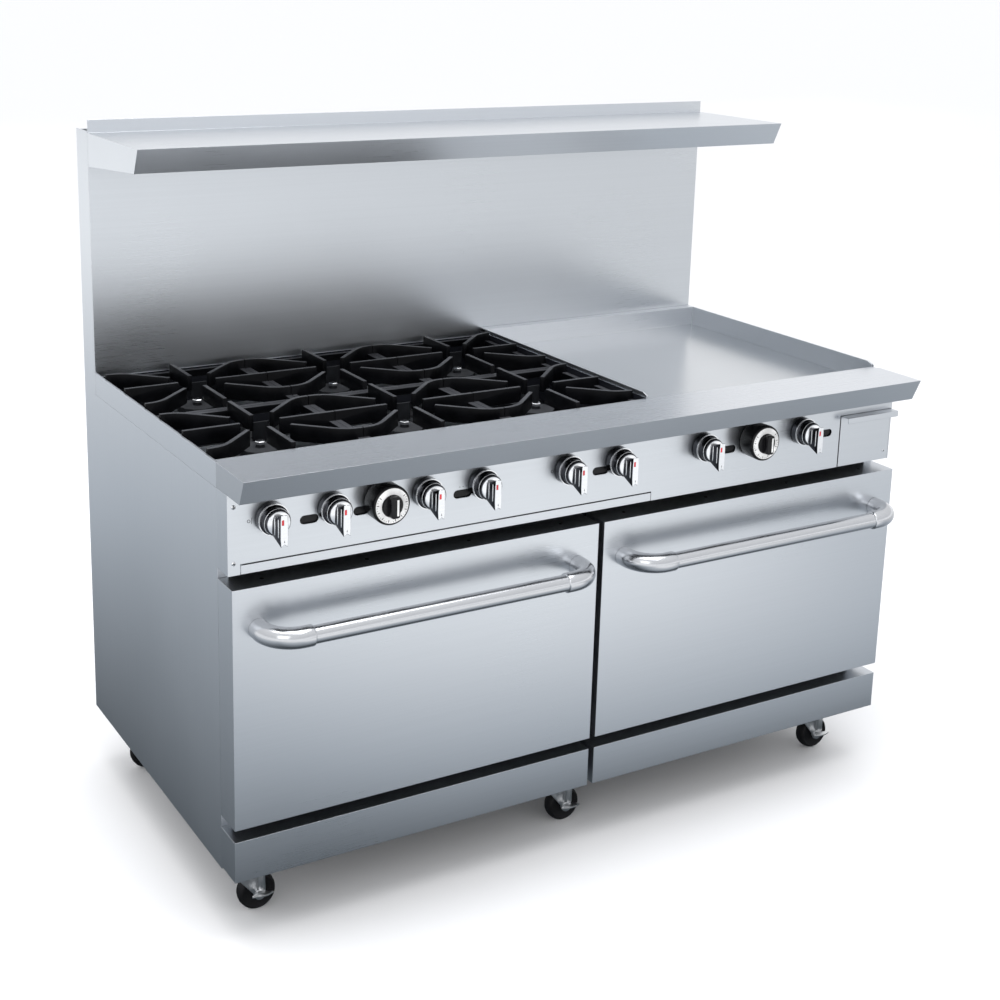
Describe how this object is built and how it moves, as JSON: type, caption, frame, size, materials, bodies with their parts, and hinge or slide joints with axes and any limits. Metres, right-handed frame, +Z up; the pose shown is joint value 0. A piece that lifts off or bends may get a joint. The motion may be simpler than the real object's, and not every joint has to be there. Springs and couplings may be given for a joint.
{
  "type": "commercial gas range",
  "caption": "Stainless gas range with open burners under cast grates, a flat griddle, twin ovens with drop-down doors, a high rear shelf and casters.",
  "frame": {"origin": "middle of the base, on the floor: centre of the overall box in X and Y, lowest point of the wheels in Z", "axes": "+X to the right as seen from the front, along the width; +Y from the doors to the back; +Z up"},
  "size_m": [1.524, 0.8876, 1.4128],
  "materials": {
    "back_panel": "plain galvanised or aluminised steel sheet",
    "backguard": "fine horizontal brushed stainless steel",
    "brake_pedal_left": "plain galvanised or aluminised steel sheet",
    "brake_pedal_middle": "plain galvanised or aluminised steel sheet",
    "brake_pedal_right": "plain galvanised or aluminised steel sheet",
    "burner_box": "fine horizontal brushed stainless steel",
    "caster_fork_front_left": "plain galvanised or aluminised steel sheet",
    "caster_fork_front_middle": "plain galvanised or aluminised steel sheet",
    "caster_fork_front_right": "plain galvanised or aluminised steel sheet",
    "caster_fork_rear_left": "plain galvanised or aluminised steel sheet",
    "caster_fork_rear_middle": "plain galvanised or aluminised steel sheet",
    "caster_fork_rear_right": "plain galvanised or aluminised steel sheet",
    "caster_wheel_front_left": "black rubber tyre on a grey hub",
    "caster_wheel_front_middle": "black rubber tyre on a grey hub",
    "caster_wheel_front_right": "black rubber tyre on a grey hub",
    "caster_wheel_rear_left": "black rubber tyre on a grey hub",
    "caster_wheel_rear_middle": "black rubber tyre on a grey hub",
    "caster_wheel_rear_right": "black rubber tyre on a grey hub",
    "chassis": "plain galvanised or aluminised steel sheet",
    "control_panel": "fine horizontal brushed stainless steel",
    "door_handle_left": "polished chrome plate",
    "door_handle_right": "polished chrome plate",
    "door_inner_left": "plain galvanised or aluminised steel sheet",
    "door_inner_right": "plain galvanised or aluminised steel sheet",
    "door_outer_left": "fine horizontal brushed stainless steel",
    "door_outer_right": "fine horizontal brushed stainless steel",
    "drip_tray": "fine horizontal brushed stainless steel",
    "front_ledge": "fine horizontal brushed stainless steel",
    "gas_manifold": "plain galvanised or aluminised steel sheet",
    "grate_front_left": "matt black cast iron, seasoned",
    "grate_front_middle": "matt black cast iron, seasoned",
    "grate_front_right": "matt black cast iron, seasoned",
    "grate_rear_left": "matt black cast iron, seasoned",
    "grate_rear_middle": "matt black cast iron, seasoned",
    "grate_rear_right": "matt black cast iron, seasoned",
    "grease_drawer": "fine horizontal brushed stainless steel",
    "griddle": "ground steel plate, satin",
    "high_shelf": "fine horizontal brushed stainless steel",
    "kick_plate_left": "fine horizontal brushed stainless steel",
    "kick_plate_right": "fine horizontal brushed stainless steel",
    "knob_griddle_left": "polished chrome plate",
    "knob_griddle_right": "polished chrome plate",
    "knob_left_front": "polished chrome plate",
    "knob_left_rear": "polished chrome plate",
    "knob_middle_front": "polished chrome plate",
    "knob_middle_rear": "polished chrome plate",
    "knob_right_front": "polished chrome plate",
    "knob_right_rear": "polished chrome plate",
    "oven_burners": "matt black cast iron, seasoned",
    "oven_liner_left": "dark porcelain enamel, slightly glossy",
    "oven_liner_right": "dark porcelain enamel, slightly glossy",
    "oven_rack_left": "polished chrome plate",
    "oven_rack_right": "polished chrome plate",
    "side_panel_left": "fine horizontal brushed stainless steel",
    "side_panel_right": "fine horizontal brushed stainless steel",
    "thermostat_left": "black moulded phenolic with a pale scale ring",
    "thermostat_right": "black moulded phenolic with a pale scale ring",
    "top_burners_left": "matt black cast iron, seasoned",
    "top_burners_middle": "matt black cast iron, seasoned",
    "top_burners_right": "matt black cast iron, seasoned"
  },
  "bodies": {
    "frame": {"chassis": "chassis", "side_panel_left": "side_panel_left", "side_panel_right": "side_panel_right", "back_panel": "back_panel", "backguard": "backguard", "high_shelf": "high_shelf", "front_ledge": "front_ledge", "control_panel": "control_panel", "kick_plate_left": "kick_plate_left", "kick_plate_right": "kick_plate_right", "burner_box": "burner_box", "griddle": "griddle", "gas_manifold": "gas_manifold", "oven_liner_left": "oven_liner_left", "oven_liner_right": "oven_liner_right", "oven_burners": "oven_burners", "top_burners_left": "top_burners_left", "top_burners_middle": "top_burners_middle", "top_burners_right": "top_burners_right"},
    "door_left": {"door_outer_left": "door_outer_left", "door_inner_left": "door_inner_left", "door_handle_left": "door_handle_left"},
    "door_right": {"door_outer_right": "door_outer_right", "door_inner_right": "door_inner_right", "door_handle_right": "door_handle_right"},
    "rack_left": {"oven_rack_left": "oven_rack_left"},
    "rack_right": {"oven_rack_right": "oven_rack_right"},
    "tray": {"drip_tray": "drip_tray"},
    "drawer": {"grease_drawer": "grease_drawer"},
    "knob_left_front": {"knob_left_front": "knob_left_front"},
    "knob_left_rear": {"knob_left_rear": "knob_left_rear"},
    "knob_middle_front": {"knob_middle_front": "knob_middle_front"},
    "knob_middle_rear": {"knob_middle_rear": "knob_middle_rear"},
    "knob_right_front": {"knob_right_front": "knob_right_front"},
    "knob_right_rear": {"knob_right_rear": "knob_right_rear"},
    "knob_griddle_left": {"knob_griddle_left": "knob_griddle_left"},
    "knob_griddle_right": {"knob_griddle_right": "knob_griddle_right"},
    "thermostat_left": {"thermostat_left": "thermostat_left"},
    "thermostat_right": {"thermostat_right": "thermostat_right"},
    "grate_front_left": {"grate_front_left": "grate_front_left"},
    "grate_front_middle": {"grate_front_middle": "grate_front_middle"},
    "grate_front_right": {"grate_front_right": "grate_front_right"},
    "grate_rear_left": {"grate_rear_left": "grate_rear_left"},
    "grate_rear_middle": {"grate_rear_middle": "grate_rear_middle"},
    "grate_rear_right": {"grate_rear_right": "grate_rear_right"},
    "caster_front_left": {"caster_fork_front_left": "caster_fork_front_left"},
    "wheel_front_left": {"caster_wheel_front_left": "caster_wheel_front_left"},
    "brake_left": {"brake_pedal_left": "brake_pedal_left"},
    "caster_front_middle": {"caster_fork_front_middle": "caster_fork_front_middle"},
    "wheel_front_middle": {"caster_wheel_front_middle": "caster_wheel_front_middle"},
    "brake_middle": {"brake_pedal_middle": "brake_pedal_middle"},
    "caster_front_right": {"caster_fork_front_right": "caster_fork_front_right"},
    "wheel_front_right": {"caster_wheel_front_right": "caster_wheel_front_right"},
    "brake_right": {"brake_pedal_right": "brake_pedal_right"},
    "caster_rear_left": {"caster_fork_rear_left": "caster_fork_rear_left"},
    "wheel_rear_left": {"caster_wheel_rear_left": "caster_wheel_rear_left"},
    "caster_rear_middle": {"caster_fork_rear_middle": "caster_fork_rear_middle"},
    "wheel_rear_middle": {"caster_wheel_rear_middle": "caster_wheel_rear_middle"},
    "caster_rear_right": {"caster_fork_rear_right": "caster_fork_rear_right"},
    "wheel_rear_right": {"caster_wheel_rear_right": "caster_wheel_rear_right"}
  },
  "joints": [
    {"name": "door_left_hinge", "type": "hinge", "parent": "frame", "child": "door_left", "pos_m": [-0.3845, -0.345, 0.243], "axis": [1, 0, 0], "range_deg": [0, 88]},
    {"name": "door_right_hinge", "type": "hinge", "parent": "frame", "child": "door_right", "pos_m": [0.384, -0.345, 0.243], "axis": [1, 0, 0], "range_deg": [0, 88]},
    {"name": "rack_left_slide", "type": "slide", "parent": "frame", "child": "rack_left", "axis": [0, -1, 0], "range_m": [0, 0.025]},
    {"name": "rack_right_slide", "type": "slide", "parent": "frame", "child": "rack_right", "axis": [0, -1, 0], "range_m": [0, 0.025]},
    {"name": "drip_tray_slide", "type": "slide", "parent": "frame", "child": "tray", "axis": [0, -1, 0], "range_m": [0, 0.45]},
    {"name": "grease_drawer_slide", "type": "slide", "parent": "frame", "child": "drawer", "axis": [0, -1, 0], "range_m": [0, 0.28]},
    {"name": "knob_left_front_turn", "type": "hinge", "parent": "frame", "child": "knob_left_front", "pos_m": [-0.683, -0.3409, 0.802], "axis": [0, -1, 0], "range_deg": [0, 90]},
    {"name": "knob_left_rear_turn", "type": "hinge", "parent": "frame", "child": "knob_left_rear", "pos_m": [-0.566, -0.3409, 0.802], "axis": [0, -1, 0], "range_deg": [0, 90]},
    {"name": "knob_middle_front_turn", "type": "hinge", "parent": "frame", "child": "knob_middle_front", "pos_m": [-0.38, -0.3409, 0.802], "axis": [0, -1, 0], "range_deg": [0, 90]},
    {"name": "knob_middle_rear_turn", "type": "hinge", "parent": "frame", "child": "knob_middle_rear", "pos_m": [-0.2625, -0.3409, 0.802], "axis": [0, -1, 0], "range_deg": [0, 90]},
    {"name": "knob_right_front_turn", "type": "hinge", "parent": "frame", "child": "knob_right_front", "pos_m": [-0.074, -0.3409, 0.802], "axis": [0, -1, 0], "range_deg": [0, 90]},
    {"name": "knob_right_rear_turn", "type": "hinge", "parent": "frame", "child": "knob_right_rear", "pos_m": [0.043, -0.3409, 0.802], "axis": [0, -1, 0], "range_deg": [0, 90]},
    {"name": "knob_griddle_left_turn", "type": "hinge", "parent": "frame", "child": "knob_griddle_left", "pos_m": [0.252, -0.3409, 0.802], "axis": [0, -1, 0], "range_deg": [0, 90]},
    {"name": "knob_griddle_right_turn", "type": "hinge", "parent": "frame", "child": "knob_griddle_right", "pos_m": [0.508, -0.3409, 0.802], "axis": [0, -1, 0], "range_deg": [0, 90]},
    {"name": "thermostat_left_turn", "type": "hinge", "parent": "frame", "child": "thermostat_left", "pos_m": [-0.47, -0.3409, 0.802], "axis": [0, -1, 0], "range_deg": [0, 270]},
    {"name": "thermostat_right_turn", "type": "hinge", "parent": "frame", "child": "thermostat_right", "pos_m": [0.378, -0.3409, 0.802], "axis": [0, -1, 0], "range_deg": [0, 270]},
    {"name": "grate_front_left_lift", "type": "slide", "parent": "frame", "child": "grate_front_left", "axis": [0, 0, 1], "range_m": [0, 0.15]},
    {"name": "grate_front_middle_lift", "type": "slide", "parent": "frame", "child": "grate_front_middle", "axis": [0, 0, 1], "range_m": [0, 0.15]},
    {"name": "grate_front_right_lift", "type": "slide", "parent": "frame", "child": "grate_front_right", "axis": [0, 0, 1], "range_m": [0, 0.15]},
    {"name": "grate_rear_left_lift", "type": "slide", "parent": "frame", "child": "grate_rear_left", "axis": [0, 0, 1], "range_m": [0, 0.15]},
    {"name": "grate_rear_middle_lift", "type": "slide", "parent": "frame", "child": "grate_rear_middle", "axis": [0, 0, 1], "range_m": [0, 0.15]},
    {"name": "grate_rear_right_lift", "type": "slide", "parent": "frame", "child": "grate_rear_right", "axis": [0, 0, 1], "range_m": [0, 0.15]},
    {"name": "caster_front_left_swivel", "type": "hinge", "parent": "frame", "child": "caster_front_left", "pos_m": [-0.703, -0.2475, 0.118], "axis": [0, 0, 1], "continuous": true},
    {"name": "caster_front_left_roll", "type": "hinge", "parent": "caster_front_left", "child": "wheel_front_left", "pos_m": [-0.678, -0.2475, 0.03693], "axis": [0, 1, 0], "continuous": true},
    {"name": "brake_left_press", "type": "hinge", "parent": "caster_front_left", "child": "brake_left", "pos_m": [-0.678, -0.2475, 0.03693], "axis": [0, 1, 0], "range_deg": [-12, 12]},
    {"name": "caster_front_middle_swivel", "type": "hinge", "parent": "frame", "child": "caster_front_middle", "pos_m": [-0.018, -0.2475, 0.118], "axis": [0, 0, 1], "continuous": true},
    {"name": "caster_front_middle_roll", "type": "hinge", "parent": "caster_front_middle", "child": "wheel_front_middle", "pos_m": [0.007, -0.2475, 0.03693], "axis": [0, 1, 0], "continuous": true},
    {"name": "brake_middle_press", "type": "hinge", "parent": "caster_front_middle", "child": "brake_middle", "pos_m": [0.007, -0.2475, 0.03693], "axis": [0, 1, 0], "range_deg": [-12, 12]},
    {"name": "caster_front_right_swivel", "type": "hinge", "parent": "frame", "child": "caster_front_right", "pos_m": [0.667, -0.2475, 0.118], "axis": [0, 0, 1], "continuous": true},
    {"name": "caster_front_right_roll", "type": "hinge", "parent": "caster_front_right", "child": "wheel_front_right", "pos_m": [0.692, -0.2475, 0.03693], "axis": [0, 1, 0], "continuous": true},
    {"name": "brake_right_press", "type": "hinge", "parent": "caster_front_right", "child": "brake_right", "pos_m": [0.692, -0.2475, 0.03693], "axis": [0, 1, 0], "range_deg": [-12, 12]},
    {"name": "caster_rear_left_swivel", "type": "hinge", "parent": "frame", "child": "caster_rear_left", "pos_m": [-0.703, 0.36, 0.118], "axis": [0, 0, 1], "continuous": true},
    {"name": "caster_rear_left_roll", "type": "hinge", "parent": "caster_rear_left", "child": "wheel_rear_left", "pos_m": [-0.678, 0.36, 0.03693], "axis": [0, 1, 0], "continuous": true},
    {"name": "caster_rear_middle_swivel", "type": "hinge", "parent": "frame", "child": "caster_rear_middle", "pos_m": [-0.018, 0.36, 0.118], "axis": [0, 0, 1], "continuous": true},
    {"name": "caster_rear_middle_roll", "type": "hinge", "parent": "caster_rear_middle", "child": "wheel_rear_middle", "pos_m": [0.007, 0.36, 0.03693], "axis": [0, 1, 0], "continuous": true},
    {"name": "caster_rear_right_swivel", "type": "hinge", "parent": "frame", "child": "caster_rear_right", "pos_m": [0.667, 0.36, 0.118], "axis": [0, 0, 1], "continuous": true},
    {"name": "caster_rear_right_roll", "type": "hinge", "parent": "caster_rear_right", "child": "wheel_rear_right", "pos_m": [0.692, 0.36, 0.03693], "axis": [0, 1, 0], "continuous": true}
  ]
}
